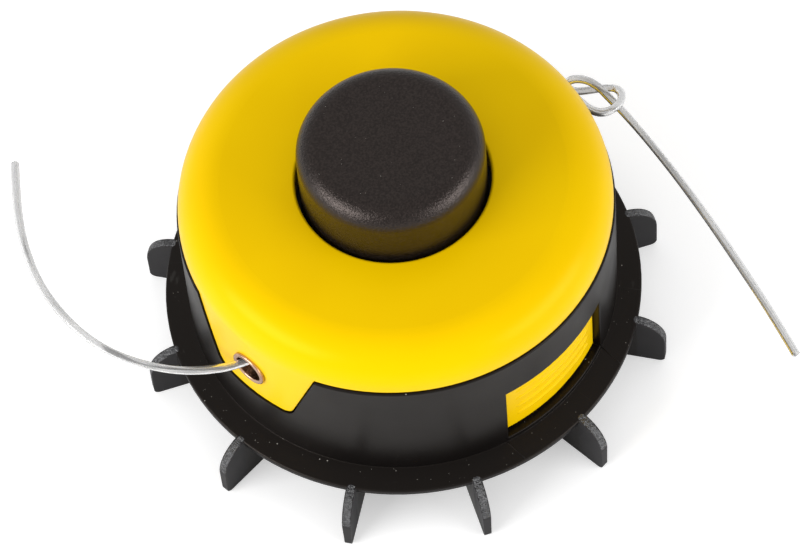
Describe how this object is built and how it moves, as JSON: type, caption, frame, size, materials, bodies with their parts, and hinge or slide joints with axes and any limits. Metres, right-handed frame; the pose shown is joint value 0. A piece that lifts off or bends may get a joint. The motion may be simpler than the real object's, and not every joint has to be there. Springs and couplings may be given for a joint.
{
  "type": "bump-feed trimmer head with line spool",
  "caption": "Round string trimmer head with a finned black base, a clip-on domed yellow cover, a sprung tap knob on a line spool, brass eyelets and free nylon line ends.",
  "frame": {"origin": "on the turning axis, level with the bottom edges of the fan fins", "axes": "+Z along the turning axis towards the tap knob, X through the two eyelets, Y through the two latch windows"},
  "size_m": [0.1206, 0.1563, 0.072],
  "materials": {
    "base_plastic": "satin glass-filled nylon, moulded",
    "cover_plastic": "satin gloss, moulded in colour",
    "knob_plastic": "fine spark-eroded grain",
    "spool_plastic": "moulded, matt",
    "eyelet_brass": "rolled bright brass",
    "insert_brass": "machined brass",
    "spring_steel": "drawn spring steel",
    "line_nylon": "clear extruded nylon"
  },
  "bodies": {
    "housing": {"base_housing": "base_plastic", "drive_insert": "insert_brass", "cover": "cover_plastic", "eyelet_left": "eyelet_brass", "eyelet_right": "eyelet_brass", "feed_spring": "spring_steel", "line_left": "line_nylon", "line_right": "line_nylon"},
    "thrust_plate": {"thrust_washer": "spring_steel"},
    "spool": {"spool": "spool_plastic", "line_winding_lower": "line_nylon", "line_winding_upper": "line_nylon", "bump_knob": "knob_plastic"}
  },
  "joints": [
    {"name": "bump_slide", "type": "slide", "parent": "housing", "child": "thrust_plate", "axis": [0, 0, 1], "range_m": [-0.006, 0], "stiffness_N_per_m": 1000, "springref_m": 0.012, "deforming": ["feed_spring"]},
    {"name": "spool_feed", "type": "hinge", "parent": "thrust_plate", "child": "spool", "pos_m": [0, 0, 0.0438], "axis": [0, 0, 1], "continuous": true}
  ]
}
